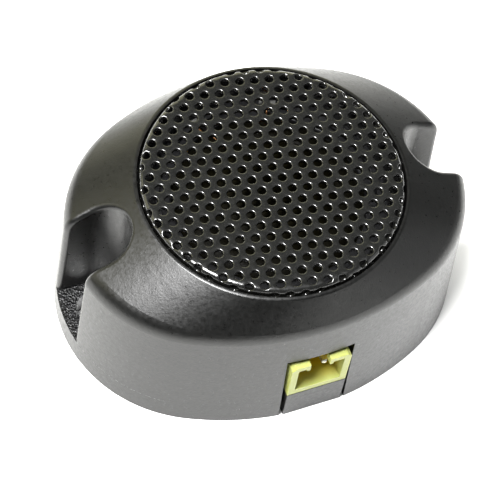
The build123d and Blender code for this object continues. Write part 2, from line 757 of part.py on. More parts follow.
# ---- Hook-up wires ----------------------------------------------------------------------
def hookup_wire(angle, side):
    """Insulated wire from a terminal, down past the motor, to a pad on the board."""
    touch = WIRE_RADIUS + WIRE_CLEARANCE
    reach = TERMINAL_RADIUS + TERMINAL_THICKNESS + touch
    start_x = reach * cos(radians(angle))
    start_y = reach * sin(radians(angle))
    floor = PLATE_THICKNESS + touch
    on_board = BOARD_TOP + touch
    route = FilletPolyline(
        (start_x, start_y, WIRE_TOP),
        (start_x, start_y, floor),
        (side * WIRE_SIDE_X, WIRE_SIDE_BACK, floor),
        (side * WIRE_SIDE_X, WIRE_SIDE_FRONT, floor),
        (side * WIRE_RISE_X, WIRE_RISE_Y, floor),
        (side * WIRE_RISE_X, WIRE_RISE_Y, on_board),
        (side * WIRE_RISE_X, WIRE_END, on_board),
        radius=WIRE_BEND,
    )
    jacket = tube_along(route, WIRE_RADIUS)
    strand_middle = (side * WIRE_RISE_X, WIRE_END - STRAND_LENGTH / 2, on_board)
    strand = Pos(*strand_middle) * Rot(90, 0, 0) * Cylinder(STRAND_RADIUS, STRAND_LENGTH)
    return jacket + strand


@node("hookup_wire_red")
def hookup_wire_red():
    """Positive wire."""
    return hookup_wire(TERMINAL_ANGLES["positive"], 1)


@node("hookup_wire_black")
def hookup_wire_black():
    """Negative wire."""
    return hookup_wire(TERMINAL_ANGLES["negative"], -1)


def main():
    """Write one STEP file for each piece."""
    os.makedirs("parts", exist_ok=True)
    for name, make in NODES.items():
        export_step(make(), f"parts/{name}.step")


if __name__ == "__main__":
    main()
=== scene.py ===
import math

import bmesh
import bpy
from mathutils import Matrix, Vector, noise
from mathutils.geometry import delaunay_2d_cdt


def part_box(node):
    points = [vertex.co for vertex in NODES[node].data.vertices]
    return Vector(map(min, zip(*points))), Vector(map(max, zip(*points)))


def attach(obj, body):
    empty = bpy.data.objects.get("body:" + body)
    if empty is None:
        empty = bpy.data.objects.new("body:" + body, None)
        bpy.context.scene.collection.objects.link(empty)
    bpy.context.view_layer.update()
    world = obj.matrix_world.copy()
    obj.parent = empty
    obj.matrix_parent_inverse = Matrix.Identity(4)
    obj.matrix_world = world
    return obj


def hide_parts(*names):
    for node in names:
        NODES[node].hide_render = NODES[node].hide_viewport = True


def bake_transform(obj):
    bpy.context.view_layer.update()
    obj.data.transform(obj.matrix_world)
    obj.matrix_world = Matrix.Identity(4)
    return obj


# Car tweeter: the looks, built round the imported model. Metres, in the model's own frame.
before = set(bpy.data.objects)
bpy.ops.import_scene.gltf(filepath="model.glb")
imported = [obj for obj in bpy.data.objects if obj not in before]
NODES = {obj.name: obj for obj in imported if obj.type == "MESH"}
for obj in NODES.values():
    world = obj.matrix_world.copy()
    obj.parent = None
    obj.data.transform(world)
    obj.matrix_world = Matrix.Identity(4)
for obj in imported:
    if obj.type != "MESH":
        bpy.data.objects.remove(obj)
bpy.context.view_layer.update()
FIXED = "body"
MOVING = "diaphragm"
MM = 0.001

# ---- Camera -----------------------------------------------------------------------------
CAMERA_TARGET = (-0.00233, -0.00192, 0.0100)
CAMERA_AZIMUTH = -29.72
CAMERA_ELEVATION = 58.47
CAMERA_ROLL = 10.48
CAMERA_DISTANCE = 0.21912
CAMERA_LENS = 130.62
CAMERA_NEAR = 0.01
CAMERA_FAR = 10

# ---- Table and lights -------------------------------------------------------------------
TABLE_REACH = 0.6
TABLE_GAP = 0.02 * MM
PAPER_EDGE = 75 * MM
TABLE_FRONT = (0.30, 0.30, 0.30)
TABLE_BACK = (0.60, 0.60, 0.60)
WORLD_TINT = (0.92, 0.97, 1.0)
WORLD_STRENGTH = 0.12
LIGHT_TARGET = (0, 0, 10 * MM)
NEUTRAL = (1.0, 1.0, 1.0)
WARM = (1.0, 0.97, 0.62)

# ---- Places that a finish or painted light is kept to -----------------------------------
NOTCH_FLOOR = 3.10 * MM
NOTCH_FLOOR_MARGIN = 0.05 * MM
NOTCH_FLOOR_START = 17.2 * MM
BOARD_CORE_LOW = 3.46 * MM
BOARD_CORE_HIGH = 4.94 * MM
CAN_STRIPE_HALF_WIDTH = 0.7 * MM
CAN_TOP_DEPTH = 0.05 * MM
MOUTH_HALF_WIDTH = 2.92 * MM
MOUTH_LOW = 5.98 * MM
MOUTH_HIGH = 10.67 * MM
MOUTH_FRONT = -19.2 * MM
MOUTH_DEEP = -16.8 * MM

# ---- Grille -----------------------------------------------------------------------------
SHEET = 0.5 * MM
BEND = 0.65 * MM
PERFORATION_PITCH = 1.8 * MM
PERFORATION_RADIUS = 0.50 * MM
PERFORATION_TURN = math.radians(-11.1)
PERFORATION_SHIFT = Vector((-0.80 * MM, -0.14 * MM))
PUNCH_ROUND = 0.18 * MM
PUNCH_SIDES = 24
ROUND_STEPS = 5
EDGE_SIDES = 240
RIM_MARGIN = 0.1 * MM
FILL_SPACING = 0.22 * MM
FILL_MARGIN = 0.3 * FILL_SPACING
SAME_POINT = 1e-9

# ---- Suspension, lead-out wires and coil ------------------------------------------------
FILM = 0.15 * MM
ROLL_OUTER_RADIUS = 11.35 * MM
ROLL_STEPS = 28
LEAD_ANGLES = (70, 110)
LEAD_RADIUS = 0.125 * MM
LEAD_START = 8.15 * MM
LEAD_CREST = 10.30 * MM
LEAD_FOOT = 11.72 * MM
LEAD_END = 13.25 * MM
LEAD_TWIST = 0.55 * MM
LEAD_LOBES = 3
LOBE_DEPTH = 0.22
LEAD_STEPS = 90
LEAD_SIDES = 18
COIL_TURNS = 22
COIL_INNER_RADIUS = 8.05 * MM
TURN_STEPS = 6
SEAM = 1e-7
LATHE_SIDES = 180

# ---- Foam and felt ----------------------------------------------------------------------
GASKET_INNER_RADIUS = 14.10 * MM
REAR_PAD_INNER_RADIUS = 5.40 * MM
PORE = 0.30 * MM
PORE_DEPTH = 0.06 * MM
PORE_FADE = 4
SECTION_STEPS = 40
PAD_EDGE = 0.5 * MM
PAD_CROWN = 0.12 * MM
PAD_RINGS = 26
PAD_EDGE_STEPS = 8
FELT_TUFT = 0.4 * MM
FELT_DEPTH = 0.05 * MM

# ---- Solder -----------------------------------------------------------------------------
PIN_X = 1.25 * MM
PIN_TAIL_Y = -11.9 * MM
CAPACITOR_LEAD_X = (5.7 * MM, 7.7 * MM)
CAPACITOR_Y = -13.5 * MM
SOLDER_FOOT = 0.95 * MM
SOLDER_TIP = 0.38 * MM
SOLDER_HEIGHT = 0.7 * MM
SOLDER_STEPS = 7
SOLDER_SIDES = 48


# ---- Camera and stage -------------------------------------------------------------------
def direction(azimuth, elevation):
    """Unit vector out from the object; azimuth 0 is the -Y side, 90 the +X side."""
    turn, rise = math.radians(azimuth), math.radians(elevation)
    flat = math.cos(rise)
    return Vector((math.sin(turn) * flat, -math.cos(turn) * flat, math.sin(rise)))


def aimed(obj, target, azimuth, elevation, distance, roll=0.0):
    """Put obj at a bearing from the target, with its -Z axis on the target."""
    back = direction(azimuth, elevation)
    obj.rotation_mode = "QUATERNION"
    obj.location = Vector(target) + back * distance
    look = (-back).to_track_quat("-Z", "Y").to_matrix()
    obj.rotation_quaternion = (look @ Matrix.Rotation(math.radians(roll), 3, "Z")).to_quaternion()
    return obj


def link(obj):
    bpy.context.scene.collection.objects.link(obj)
    return obj


def make_camera():
    data = bpy.data.cameras.new("camera")
    data.lens = CAMERA_LENS
    data.clip_start, data.clip_end = CAMERA_NEAR, CAMERA_FAR
    camera = link(bpy.data.objects.new("camera", data))
    aimed(camera, CAMERA_TARGET, CAMERA_AZIMUTH, CAMERA_ELEVATION, CAMERA_DISTANCE, CAMERA_ROLL)
    bpy.context.scene.camera = camera


def soft_light(name, azimuth, elevation, distance, size, radiance, tint=NEUTRAL, glossy=True):
    """Round softbox of an even brightness, aimed at the body."""
    data = bpy.data.lights.new(name, "AREA")
    data.color = tint
    data.shape = "DISK"
    data.size = size
    data.energy = radiance * math.pi * math.pi * (size / 2) ** 2
    light = link(bpy.data.objects.new(name, data))
    light.visible_glossy = glossy
    return aimed(light, LIGHT_TARGET, azimuth, elevation, distance)


def make_stage():
    """Table, key light high on the left, overhead fill kept out of reflections, dim side walls."""
    mesh = bpy.data.meshes.new("floor")
    far = TABLE_REACH
    mesh.from_pydata([(-far, -far, 0), (far, -far, 0), (far, far, 0), (-far, far, 0)], [], [(0, 1, 2, 3)])
    floor = link(bpy.data.objects.new("floor", mesh))
    floor.location.z = -TABLE_GAP
    floor.data.materials.append(floor_paper())

    world = bpy.data.worlds.new("studio")
    bpy.context.scene.world = world
    world.use_nodes = True
    backdrop = world.node_tree.nodes["Background"].inputs
    backdrop["Color"].default_value = (*WORLD_TINT, 1)
    backdrop["Strength"].default_value = WORLD_STRENGTH

    # Azimuth, elevation, distance, size, radiance
    soft_light("overhead", 150, 75, 0.9, 0.8, 4.5, glossy=False)
    soft_light("ceiling", 0, 90, 0.9, 0.7, 0.5)
    soft_light("key", -80, 68, 0.7, 0.26, 84)
    soft_light("back_wall", 170, 12, 0.9, 1.1, 1.4, tint=WARM)
    soft_light("left_wall", -120, 28, 0.9, 0.8, 1.4, tint=WARM)
    soft_light("right_wall", 60, 12, 0.9, 0.9, 0.6)
    bpy.context.scene.view_settings.view_transform = "Standard"


# ---- Material building blocks -----------------------------------------------------------
# Between these two values lies most of what a noise texture gives
NOISE_SPAN = (0.3, 0.7)


class Shader:
    """A Principled material and the few nodes that the finishes below are made of."""

    def __init__(self, name, colour, roughness, **sockets):
        self.material = bpy.data.materials.new(name)
        self.material.use_nodes = True
        self.tree = self.material.node_tree
        self.surface = self.tree.nodes["Principled BSDF"]
        self.place = self.add("ShaderNodeTexCoord").outputs["Object"]
        self.set("Base Color", (*colour, 1))
        self.set("Roughness", roughness)
        for socket, value in sockets.items():
            self.set(socket.replace("_", " "), value)

    def add(self, kind, **settings):
        node = self.tree.nodes.new(kind)
        for key, value in settings.items():
            setattr(node, key, value)
        return node

    def set(self, socket, value):
        self.surface.inputs[socket].default_value = value

    def wire(self, source, target):
        self.tree.links.new(source, target)

    def stretched(self, scale):
        """Object coordinates scaled per axis."""
        mapping = self.add("ShaderNodeMapping")
        mapping.inputs["Scale"].default_value = scale
        self.wire(self.place, mapping.inputs["Vector"])
        return mapping.outputs["Vector"]

    def noise(self, grain, detail=3.0, stretch=None):
        """Smooth noise whose blotches are about grain metres across."""
        node = self.add("ShaderNodeTexNoise")
        node.inputs["Scale"].default_value = 1 / grain
        node.inputs["Detail"].default_value = detail
        self.wire(self.stretched(stretch) if stretch else self.place, node.inputs["Vector"])
        return node.outputs["Fac"]

    def cells(self, size):
        """Distance to the nearest of scattered points about size metres apart."""
        node = self.add("ShaderNodeTexVoronoi")
        node.inputs["Scale"].default_value = 1 / size
        self.wire(self.place, node.inputs["Vector"])
        return node.outputs["Distance"]

    def axis(self, name, centre=0.0):
        """One coordinate of the point, in metres from a centre."""
        split = self.add("ShaderNodeSeparateXYZ")
        self.wire(self.place, split.inputs["Vector"])
        return self.math("SUBTRACT", split.outputs[name], centre)

    def remap(self, value, low, high, new_low, new_high):
        node = self.add("ShaderNodeMapRange", clamp=True)
        self.wire(value, node.inputs["Value"])
        limits = {"From Min": low, "From Max": high, "To Min": new_low, "To Max": new_high}
        for name, number in limits.items():
            node.inputs[name].default_value = number
        return node.outputs["Result"]

    def math(self, operation, first, second):
        node = self.add("ShaderNodeMath", operation=operation)
        for socket, value in zip(node.inputs, (first, second)):
            if isinstance(value, (int, float)):
                socket.default_value = value
            else:
                self.wire(value, socket)
        return node.outputs["Value"]

    def inside(self, value, low, high):
        """One where a value lies in a range, nought elsewhere."""
        above = self.math("GREATER_THAN", value, low)
        return self.math("MULTIPLY", above, self.math("LESS_THAN", value, high))

    def blend(self, amount, first, second):
        """Colour between two others; either may be a colour or a socket."""
        node = self.add("ShaderNodeMix", data_type="RGBA")
        self.wire(amount, node.inputs["Factor"])
        sockets = [socket for socket in node.inputs if socket.type == "RGBA"]
        for socket, value in zip(sockets, (first, second)):
            if isinstance(value, tuple):
                socket.default_value = (*value, 1)
            else:
                self.wire(value, socket)
        return next(socket for socket in node.outputs if socket.type == "RGBA")

    def colour(self, socket):
        self.wire(socket, self.surface.inputs["Base Color"])

    def mottled(self, grain, dark, light, detail=3.0):
        """Colour that wanders between two tones."""
        return self.blend(self.noise(grain, detail), dark, light)

    def uneven_gloss(self, grain, low, high):
        """Roughness that wanders between two values."""
        patches = self.remap(self.noise(grain), *NOISE_SPAN, low, high)
        self.wire(patches, self.surface.inputs["Roughness"])

    def bump(self, *layers):
        """Stack bumps, each a (height socket, depth in metres) pair."""
        normal = None
        for height, depth in layers:
            node = self.add("ShaderNodeBump")
            node.inputs["Strength"].default_value = 1.0
            node.inputs["Distance"].default_value = depth
            self.wire(height, node.inputs["Height"])
            if normal:
                self.wire(normal, node.inputs["Normal"])
            normal = node.outputs["Normal"]
        self.wire(normal, self.surface.inputs["Normal"])


# ---- Finishes ---------------------------------------------------------------------------
def floor_paper():
    """White paper on a greyer table, darkest in front, which the housing's walls reflect."""
    shader = Shader("floor_paper", (0.86, 0.86, 0.85), 0.7)
    paper = shader.mottled(1.5 * MM, (0.85, 0.85, 0.84), (0.88, 0.88, 0.87))
    front = direction(CAMERA_AZIMUTH, 0)
    along = shader.math("MULTIPLY", shader.axis("X"), front.x)
    across = shader.math("MULTIPLY", shader.axis("Y"), front.y)
    ahead = shader.math("ADD", along, across)
    near = shader.remap(ahead, PAPER_EDGE, 2 * PAPER_EDGE, 0, 1)
    far = shader.remap(ahead, -2 * PAPER_EDGE, -PAPER_EDGE, 1, 0)
    ground = shader.blend(near, paper, TABLE_FRONT)
    shader.colour(shader.blend(far, ground, TABLE_BACK))
    return shader.material


def notch_floors(shader):
    """One on the floors of the two screw notches."""
    low, high = NOTCH_FLOOR - NOTCH_FLOOR_MARGIN, NOTCH_FLOOR + NOTCH_FLOOR_MARGIN
    height = shader.inside(shader.axis("Z"), low, high)
    reach = shader.math("ABSOLUTE", shader.axis("X"), 0.0)
    return shader.math("MULTIPLY", height, shader.math("GREATER_THAN", reach, NOTCH_FLOOR_START))


def housing_plastic():
    """Satin black moulding: fine grain, uneven gloss, and coarse notch floors with light flecks painted
    in as glints.
    """
    shader = Shader("housing_plastic", (0.003, 0.003, 0.003), 0.34)
    base = shader.mottled(3.5 * MM, (0.0020, 0.0020, 0.0018), (0.0045, 0.0045, 0.0042), detail=2)
    # Painted glints: light flecks in the notch floors' colour stand in for glints off their rough face.
    painted_glints = shader.remap(shader.cells(0.32 * MM), 0.12, 0.26, 1.0, 0.0)
    coarse_with_painted_glints = shader.blend(painted_glints, (0.001, 0.001, 0.0012), (0.09, 0.09, 0.095))
    floors = notch_floors(shader)
    shader.colour(shader.blend(floors, base, coarse_with_painted_glints))
    shader.uneven_gloss(0.4 * MM, 0.27, 0.40)
    grain = shader.noise(0.22 * MM, detail=2)
    pitted = shader.math("MULTIPLY", shader.cells(0.26 * MM), floors)
    shader.bump((shader.noise(1.1 * MM, detail=1), 0.013 * MM), (grain, 0.010 * MM), (pitted, 0.07 * MM))
    return shader.material


def base_plastic():
    """Black moulding with a spark-eroded face."""
    shader = Shader("base_plastic", (0.008, 0.008, 0.0085), 0.45)
    shader.colour(shader.mottled(2.5 * MM, (0.006, 0.006, 0.0065), (0.011, 0.011, 0.0115)))
    shader.uneven_gloss(0.5 * MM, 0.38, 0.52)
    shader.bump((shader.cells(0.22 * MM), 0.012 * MM), (shader.noise(0.8 * MM), 0.01 * MM))
    return shader.material


def frame_plastic():
    """Satin black moulding of the inside pieces."""
    shader = Shader("frame_plastic", (0.02, 0.02, 0.021), 0.4)
    shader.colour(shader.mottled(1.8 * MM, (0.014, 0.014, 0.015), (0.026, 0.026, 0.027)))
    shader.uneven_gloss(0.6 * MM, 0.32, 0.48)
    shader.bump((shader.noise(0.25 * MM), 0.008 * MM))
    return shader.material


def grille_paint():
    """Gloss black powder coat, slightly wavy."""
    shader = Shader("grille_paint", (0.004, 0.004, 0.004), 0.24, Coat_Weight=1.0, Coat_Roughness=0.14)
    shader.colour(shader.mottled(2.2 * MM, (0.003, 0.003, 0.003), (0.007, 0.007, 0.006)))
    shader.uneven_gloss(0.5 * MM, 0.20, 0.34)
    shader.bump((shader.noise(0.6 * MM, detail=1), 0.012 * MM), (shader.noise(0.15 * MM), 0.002 * MM))
    return shader.material


def screw_steel():
    """Black oxide with rubbed, brighter patches."""
    shader = Shader("screw_steel", (0.05, 0.05, 0.055), 0.35, Metallic=1.0)
    shader.colour(shader.mottled(0.9 * MM, (0.03, 0.03, 0.034), (0.12, 0.115, 0.11)))
    shader.uneven_gloss(0.4 * MM, 0.25, 0.5)
    shader.bump((shader.noise(0.15 * MM, stretch=(1, 1, 5)), 0.006 * MM))
    return shader.material


def foam():
    """Dark closed-cell foam, its pore hollows painted darker as shade."""
    shader = Shader("foam", (0.05, 0.05, 0.055), 0.9, Sheen_Weight=0.15)
    pores = shader.cells(0.24 * MM)
    # Painted shade: colour darkens towards each pore's hollow, where the bump sinks the surface.
    pore_shade = shader.remap(pores, 0.1, 0.6, 0, 1)
    shader.colour(shader.blend(pore_shade, (0.018, 0.018, 0.02), (0.07, 0.07, 0.075)))
    shader.bump((pores, 0.06 * MM), (shader.noise(0.1 * MM), 0.01 * MM))
    return shader.material


def felt():
    """Pressed grey wool with short fibres lying all ways, the hollows between them painted darker as
    shade.
    """
    shader = Shader("felt", (0.25, 0.24, 0.22), 0.95, Sheen_Weight=0.3)
    along = shader.noise(0.12 * MM, stretch=(6, 1, 1))
    across = shader.noise(0.12 * MM, stretch=(1, 6, 1))
    fibres = shader.math("MULTIPLY", along, across)
    # Painted shade: colour is darker where the fibre bump is low and lighter on its crests.
    fibre_shade = shader.remap(fibres, 0.1, 0.4, 0, 1)
    shader.colour(shader.blend(fibre_shade, (0.13, 0.125, 0.115), (0.34, 0.33, 0.30)))
    shader.bump((fibres, 0.05 * MM))
    return shader.material


def film(name, dark, light, roughness, gloss=0.5):
    """Thin formed polymer film with faint draw marks."""
    shader = Shader(name, dark, roughness, Specular_IOR_Level=gloss)
    shader.colour(shader.mottled(2.0 * MM, dark, light))
    shader.uneven_gloss(0.7 * MM, roughness - 0.05, roughness + 0.08)
    shader.bump((shader.noise(0.5 * MM, detail=2), 0.006 * MM))
    return shader.material


def copper():
    """Enamelled copper, slightly uneven in tone."""
    shader = Shader("copper", (0.72, 0.33, 0.16), 0.28, Metallic=1.0, Coat_Weight=0.5)
    shader.colour(shader.mottled(0.6 * MM, (0.62, 0.26, 0.11), (0.80, 0.40, 0.20)))
    shader.bump((shader.noise(0.12 * MM), 0.003 * MM))
    return shader.material


def plated(name, dark, light, roughness, grain, stretch=None):
    """Plated metal with a directional or blotchy finish."""
    shader = Shader(name, dark, roughness, Metallic=1.0)
    marks = shader.noise(grain, stretch=stretch)
    shader.colour(shader.blend(marks, dark, light))
    shader.uneven_gloss(grain, roughness - 0.07, roughness + 0.12)
    shader.bump((shader.noise(grain / 3, stretch=stretch), 0.002 * MM))
    return shader.material


def board_laminate():
    """Green solder mask over glass weave; the bare edges are yellowish."""
    shader = Shader("board_laminate", (0.05, 0.2, 0.09), 0.3, Coat_Weight=0.3, Coat_Roughness=0.1)
    warp = shader.noise(0.3 * MM, stretch=(1, 0.1, 1))
    weft = shader.noise(0.3 * MM, stretch=(0.1, 1, 1))
    weave = shader.math("ADD", warp, weft)
    mask = shader.blend(shader.remap(weave, 0.8, 1.2, 0, 1), (0.012, 0.075, 0.03), (0.03, 0.13, 0.055))
    core = shader.inside(shader.axis("Z"), BOARD_CORE_LOW, BOARD_CORE_HIGH)
    shader.colour(shader.blend(core, mask, (0.42, 0.38, 0.20)))
    shader.bump((weave, 0.012 * MM))
    return shader.material


def capacitor_sleeve():
    """Dark blue shrink sleeve with a pale stripe down one side; the can's top is bare metal."""
    shader = Shader("capacitor_sleeve", (0.02, 0.05, 0.14), 0.25, Coat_Weight=0.4)
    low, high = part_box("capacitor")
    centre = (low + high) / 2
    across, along = shader.axis("X", centre.x), shader.axis("Y", centre.y)
    stripe = shader.inside(along, -CAN_STRIPE_HALF_WIDTH, CAN_STRIPE_HALF_WIDTH)
    stripe = shader.math("MULTIPLY", stripe, shader.math("GREATER_THAN", across, 0.0))
    sleeve = shader.blend(stripe, (0.012, 0.03, 0.10), (0.55, 0.57, 0.60))
    top = shader.math("GREATER_THAN", shader.axis("Z"), high.z - CAN_TOP_DEPTH)
    shader.colour(shader.blend(top, sleeve, (0.62, 0.62, 0.62)))
    shader.uneven_gloss(0.8 * MM, 0.18, 0.34)
    shader.bump((shader.noise(0.6 * MM, detail=1), 0.015 * MM))
    return shader.material


def connector_nylon():
    """Lime-yellow nylon; the mouth is painted a deeper, darker yellow inwards, as painted shade and
    scattered light between its walls.
    """
    shader = Shader("connector_nylon", (0.30, 0.34, 0.11), 0.42, Subsurface_Weight=0.2)
    shader.set("Subsurface Radius", (1.0, 0.9, 0.2))
    shader.set("Subsurface Scale", 0.4 * MM)
    outside = shader.mottled(1.2 * MM, (0.31, 0.335, 0.085), (0.35, 0.375, 0.115))
    # Painted shade: inside the mouth the colour deepens with depth, standing in for shade and light
    # scattered between its walls.
    reach = shader.math("ABSOLUTE", shader.axis("X"), 0.0)
    mouth_shade = shader.math("LESS_THAN", reach, MOUTH_HALF_WIDTH)
    mouth_shade = shader.math("MULTIPLY", mouth_shade, shader.inside(shader.axis("Z"), MOUTH_LOW, MOUTH_HIGH))
    depth = shader.remap(shader.axis("Y"), MOUTH_FRONT, MOUTH_DEEP, 0, 1)
    mouth_shade = shader.math("MULTIPLY", mouth_shade, depth)
    shader.colour(shader.blend(mouth_shade, outside, (0.58, 0.44, 0.02)))
    shader.uneven_gloss(0.5 * MM, 0.36, 0.5)
    shader.bump((shader.noise(0.3 * MM), 0.006 * MM))
    return shader.material


def insulation(name, dark, light):
    """Soft wire sleeve with a faint waxy mottle."""
    shader = Shader(name, dark, 0.35)
    shader.colour(shader.mottled(1.0 * MM, dark, light))
    shader.uneven_gloss(0.4 * MM, 0.28, 0.44)
    shader.bump((shader.noise(0.35 * MM), 0.008 * MM))
    return shader.material


# ---- Mesh building blocks ---------------------------------------------------------------
def finished(name, mesh, finish, material_slot, *replaced):
    """Turn a bmesh into a smooth-shaded piece with its finish, in place of CAD nodes."""
    bmesh.ops.recalc_face_normals(mesh, faces=mesh.faces)
    data = bpy.data.meshes.new(name)
    mesh.to_mesh(data)
    mesh.free()
    data.materials.append(finish)
    for face in data.polygons:
        face.use_smooth = True
    piece = link(bpy.data.objects.new(name, data))
    if replaced:
        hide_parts(*replaced)
    return piece


def bridge(mesh, lower, upper):
    """Quads between two loops of the same length."""
    for i in range(len(lower)):
        j = (i + 1) % len(lower)
        mesh.faces.new((lower[i], lower[j], upper[j], upper[i]))


def lathe(mesh, section, centre=(0, 0), sides=LATHE_SIDES):
    """Turn a closed (radius, height) section about an upright axis."""
    loops = []
    for step in range(sides):
        angle = 2 * math.pi * step / sides
        cosine, sine = math.cos(angle), math.sin(angle)
        places = [(centre[0] + r * cosine, centre[1] + r * sine, z) for r, z in section]
        loops.append([mesh.verts.new(place) for place in places])
    for step in range(sides):
        bridge(mesh, loops[step], loops[(step + 1) % sides])


def cushion_section(inner, outer, low, high, squareness=0.35):
    """Closed section with flat faces and sides that bulge, as squeezed foam does."""
    middle_radius, half_width = (inner + outer) / 2, (outer - inner) / 2
    middle_height, half_height = (low + high) / 2, (high - low) / 2
    section = []
    for step in range(SECTION_STEPS):
        angle = 2 * math.pi * step / SECTION_STEPS
        across = math.copysign(abs(math.cos(angle)) ** squareness, math.cos(angle))
        rise = math.copysign(abs(math.sin(angle)) ** squareness, math.sin(angle))
        section.append((middle_radius + across * half_width, middle_height + rise * half_height))
    return section


def roughened(mesh, low, high, grain, depth):
    """Sink pores into a soft piece everywhere but on the faces that it is pressed by."""
    mesh.normal_update()
    for vertex in mesh.verts:
        place = vertex.co
        free = min(place.z - low, high - place.z) / (high - low)
        pore = abs(noise.noise(place / grain)) + 0.5 * abs(noise.noise(place / (grain / 2)))
        vertex.co -= vertex.normal * depth * pore * min(PORE_FADE * free, 1.0)


# ---- Grille -----------------------------------------------------------------------------
class SheetForm:
    """Maps a flat disc of sheet, and a depth into it, onto the drawn grille with its bent rim."""

    def __init__(self, low, high):
        self.radius = high.x
        self.top = high.z
        self.flat = self.radius - BEND
        self.skirt = self.top - BEND - low.z
        self.blank = self.flat + BEND * math.pi / 2 + self.skirt

    def at(self, point, depth):
        """Where a point of the flat blank ends up, depth below the outer surface."""
        reach = point.length
        if reach <= self.flat:
            return Vector((point.x, point.y, self.top - depth))
        outward = point / reach
        angle = min((reach - self.flat) / BEND, math.pi / 2)
        down = max(reach - self.flat - BEND * math.pi / 2, 0.0)
        radius = self.flat + (BEND - depth) * math.sin(angle)
        height = self.top - BEND + (BEND - depth) * math.cos(angle) - down
        return Vector((outward.x * radius, outward.y * radius, height))


def perforation_centres(limit):
    """Centres of the sixty-degree staggered holes inside a radius of the flat blank."""
    count = math.ceil(2 * limit / PERFORATION_PITCH)
    turn = Matrix.Rotation(PERFORATION_TURN, 2)
    centres = []
    for row in range(-count, count + 1):
        for column in range(-count, count + 1):
            along = (column + 0.5 * (row % 2)) * PERFORATION_PITCH
            across = row * PERFORATION_PITCH * math.sin(math.pi / 3)
            centre = turn @ Vector((along, across)) + PERFORATION_SHIFT
            if centre.length < limit:
                centres.append(centre)
    return centres


def circle_points(centre, radius, sides):
    step = 2 * math.pi / sides
    return [centre + radius * Vector((math.cos(i * step), math.sin(i * step))) for i in range(sides)]


def loop_edges(start, count):
    return [(start + i, start + (i + 1) % count) for i in range(count)]


def bend_fill_points(form, centres):
    """Extra points round the bent rim, clear of the holes, so that it stays round."""
    points = []
    clear = PERFORATION_RADIUS + PUNCH_ROUND + FILL_MARGIN
    for row in range(int((form.blank - form.flat) / FILL_SPACING)):
        radius = form.flat + (row + 0.5) * FILL_SPACING
        for point in circle_points(Vector((0, 0)), radius, EDGE_SIDES):
            if all((point - centre).length > clear for centre in centres):
                points.append(point)
    return points


def make_grille(finish):
    """Perforated steel cup whose punched edges are rounded over, as drawn sheet is."""
    form = SheetForm(*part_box("grille"))
    outer_radius = PERFORATION_RADIUS + PUNCH_ROUND
    centres = perforation_centres(form.blank - outer_radius - RIM_MARGIN)
    flat = []
    edges = []
    for centre in centres:
        edges += loop_edges(len(flat), PUNCH_SIDES)
        flat += circle_points(centre, outer_radius, PUNCH_SIDES)
    rim_start = len(flat)
    edges += loop_edges(rim_start, EDGE_SIDES)
    flat += circle_points(Vector((0, 0)), form.blank, EDGE_SIDES)
    near_bend = [centre for centre in centres if centre.length > form.flat - 2 * outer_radius]
    flat += bend_fill_points(form, near_bend)

    placed, _, triangles, origins, _, _ = delaunay_2d_cdt(flat, edges, [], 0, SAME_POINT)
    new_index = {old: new for new, olds in enumerate(origins) for old in olds}
    hole_of = {new_index[i]: i // PUNCH_SIDES for i in range(rim_start)}

    mesh = bmesh.new()
    top = [mesh.verts.new(form.at(point, 0)) for point in placed]
    bottom = [mesh.verts.new(form.at(point, SHEET)) for point in placed]
    # A triangle with all three corners on one hole's edge fills that hole, so it is left out
    for a, b, c in triangles:
        holes = {hole_of.get(a, -1), hole_of.get(b, -2), hole_of.get(c, -3)}
        if len(holes) > 1:
            mesh.faces.new((top[a], top[b], top[c]))
            mesh.faces.new((bottom[c], bottom[b], bottom[a]))
    for index, centre in enumerate(centres):
        ids = [new_index[index * PUNCH_SIDES + i] for i in range(PUNCH_SIDES)]
        add_punched_wall(mesh, form, centre, [top[i] for i in ids], [bottom[i] for i in ids])
    rim = [new_index[rim_start + i] for i in range(EDGE_SIDES)]
    bridge(mesh, [bottom[i] for i in rim], [top[i] for i in rim])
    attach(finished("grille_sheet", mesh, finish, "grille_paint", "grille"), FIXED)


def add_punched_wall(mesh, form, centre, top_loop, bottom_loop):
    """Rounded shoulder, straight wall and underside lip of one perforation."""
    previous = top_loop
    for step in range(1, ROUND_STEPS + 1):
        angle = step / ROUND_STEPS * math.pi / 2
        radius = PERFORATION_RADIUS + PUNCH_ROUND * (1 - math.sin(angle))
        depth = PUNCH_ROUND * (1 - math.cos(angle))
        points = circle_points(centre, radius, PUNCH_SIDES)
        loop = [mesh.verts.new(form.at(point, depth)) for point in points]
        bridge(mesh, previous, loop)
        previous = loop
    points = circle_points(centre, PERFORATION_RADIUS, PUNCH_SIDES)
    loop = [mesh.verts.new(form.at(point, SHEET)) for point in points]
    bridge(mesh, previous, loop)
    bridge(mesh, loop, bottom_loop)


# ---- Suspension, lead-out wires and coil ------------------------------------------------
def make_surround(finish):
    """Half-roll film from the dome's lip down to the frame."""
    low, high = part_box("surround")
    crest = high.z - FILM
    lip_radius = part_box("dome")[1].x
    inner_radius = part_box("voice_coil_former")[1].x
    span = ROLL_OUTER_RADIUS - lip_radius
    centre = (crest**2 - low.z**2 - span**2) / (2 * (crest - low.z))
    under = roll_points(lip_radius, centre, crest - centre, low.z)
    over = roll_points(lip_radius, centre, crest - centre + FILM, low.z + FILM)
    section = [(inner_radius, crest), *under, (high.x, low.z), (high.x, low.z + FILM)]
    section += [*reversed(over), (inner_radius, crest + FILM)]
    mesh = bmesh.new()
    lathe(mesh, section)
    piece = finished("surround_roll", mesh, finish, "surround_film", "surround")
    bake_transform(piece)


